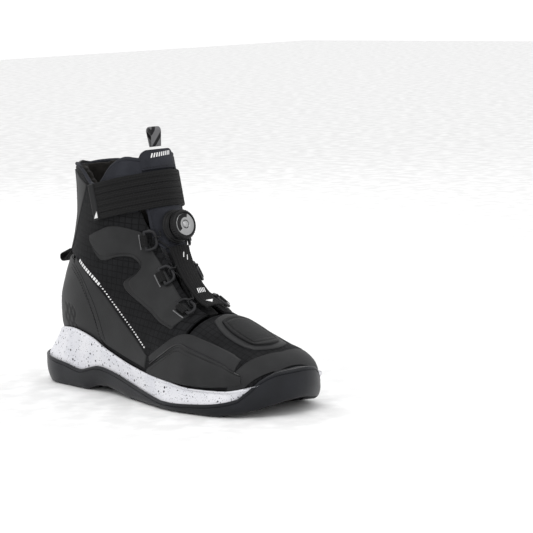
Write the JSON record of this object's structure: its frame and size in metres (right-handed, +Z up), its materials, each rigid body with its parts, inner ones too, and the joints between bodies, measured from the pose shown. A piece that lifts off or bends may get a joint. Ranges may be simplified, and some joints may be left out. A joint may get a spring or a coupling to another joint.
{
  "type": "riding ankle boot",
  "caption": "Right ankle boot for riding, with a dial and lace closure, hook-and-loop ankle strap, cupped rubber outsole and speckled foam midsole.",
  "frame": {"origin": "centre of the bounding box in plan, on the ground under the sole", "axes": "+X points to the toe, +Y to the inner side of the foot, +Z up"},
  "size_m": [0.2942, 0.1078, 0.2207],
  "materials": {
    "sole_rubber": "satin, moulded",
    "midsole_foam": "matte foam with dark speckles",
    "board": "pressed fibre board, matte",
    "steel": "brushed",
    "footbed_foam": "soft foam under a knitted cover",
    "ripstop": "ripstop weave, matte",
    "microfibre": "smooth coated microfibre, low sheen",
    "stiffener": "moulded, matte",
    "guard_foam": "dense foam, matte",
    "lining": "brushed fleece over foam",
    "softshell": "close knit, matte",
    "webbing": "woven, matte",
    "striped_webbing": "woven with slanted stripes",
    "strip_webbing": "woven, low sheen",
    "hook_and_loop": "dense loops, matte",
    "gloss_black": "glossy",
    "matte_black": "satin",
    "guide_plastic": "satin",
    "lace": "braided cable with a smooth coat"
  },
  "bodies": {
    "boot": {"outsole": "sole_rubber", "midsole": "midsole_foam", "lasting_board": "board", "steel_shank": "steel", "vamp_shell": "ripstop", "toe_puff": "stiffener", "quarter_lateral": "ripstop", "quarter_medial": "ripstop", "heel_panel": "microfibre", "heel_counter": "stiffener", "backstay_panel": "microfibre", "collar_padding": "lining", "ankle_guard_lateral": "guard_foam", "ankle_guard_medial": "guard_foam", "strap_base": "webbing", "loop_patch": "hook_and_loop", "ankle_overlay_lateral": "microfibre", "ankle_overlay_medial": "microfibre", "toe_cap": "microfibre", "toe_panel_lateral": "microfibre", "shift_pad": "microfibre", "heel_badge_panel": "gloss_black", "heel_strap": "webbing", "closure_lace": "lace", "lace_guide_lateral_1": "guide_plastic", "guide_tab_lateral_1": "webbing", "lace_guide_lateral_2": "guide_plastic", "guide_tab_lateral_2": "webbing", "lace_guide_lateral_3": "guide_plastic", "guide_tab_lateral_3": "webbing", "lace_guide_medial_1": "guide_plastic", "guide_tab_medial_1": "webbing", "lace_guide_medial_2": "guide_plastic", "guide_tab_medial_2": "webbing", "lace_guide_medial_3": "guide_plastic", "guide_tab_medial_3": "webbing"},
    "strap_front": {"strap_front": "webbing"},
    "strap_end": {"strap_end": "webbing", "strap_tab": "gloss_black"},
    "tongue": {"tongue_pad": "softshell", "tongue_top_patch": "softshell", "dial_shield": "softshell", "dial_base": "matte_black", "centre_strip": "strip_webbing"},
    "dial_carrier": {"dial_ratchet_ring": "matte_black", "dial_axle_screw": "steel"},
    "dial_knob": {"dial_knob": "gloss_black"},
    "dial_spool": {"dial_spool": "matte_black"},
    "tongue_pull": {"tongue_pull": "striped_webbing"},
    "heel_pull": {"heel_pull": "webbing"},
    "footbed": {"footbed": "footbed_foam"}
  },
  "joints": [
    {"name": "strap_open", "type": "hinge", "parent": "boot", "child": "strap_front", "pos_m": [-0.02282, 0.03315, 0.16608], "axis": [-0.22, 0, 0.9755], "range_deg": [0, 110]},
    {"name": "strap_end_fold", "type": "hinge", "parent": "strap_front", "child": "strap_end", "pos_m": [-0.01717, -0.02971, 0.16735], "axis": [-0.22, 0, 0.9755], "range_deg": [0, 80]},
    {"name": "tongue_tilt", "type": "hinge", "parent": "boot", "child": "tongue", "pos_m": [0.056, 0, 0.07], "axis": [0, 1, 0], "range_deg": [0, 12.5], "deforming": ["closure_lace"]},
    {"name": "dial_lift", "type": "slide", "parent": "tongue", "child": "dial_carrier", "axis": [0.9729, 0.0073, 0.2313], "range_m": [0, 0.0025]},
    {"name": "knob_turn", "type": "hinge", "parent": "dial_carrier", "child": "dial_knob", "pos_m": [0.00809, 0.00036, 0.13952], "axis": [0.9729, 0.0073, 0.2313], "continuous": true},
    {"name": "spool_turn", "type": "hinge", "parent": "tongue", "child": "dial_spool", "pos_m": [0.00809, 0.00036, 0.13952], "axis": [0.9729, 0.0073, 0.2313], "continuous": true},
    {"name": "tongue_pull_swing", "type": "hinge", "parent": "tongue", "child": "tongue_pull", "pos_m": [-0.0146, 0.001, 0.2038], "axis": [0, 1, 0], "range_deg": [-40, 45], "stiffness_Nm_per_rad": 0.003},
    {"name": "heel_pull_swing", "type": "hinge", "parent": "boot", "child": "heel_pull", "pos_m": [-0.12463, -0.00081, 0.11144], "axis": [0, 1, 0], "range_deg": [-25, 40], "stiffness_Nm_per_rad": 0.003},
    {"name": "footbed_lift", "type": "hinge", "parent": "boot", "child": "footbed", "pos_m": [0.128, 0, 0.0235], "axis": [0, 1, 0], "range_deg": [0, 5]}
  ],
  "couplings": [
    {"joint": "strap_end_fold", "follows": "strap_open", "ratio": 0.7},
    {"joint": "tongue_tilt", "follows": "strap_open", "ratio": 0.11},
    {"joint": "spool_turn", "follows": "knob_turn", "ratio": 1}
  ]
}
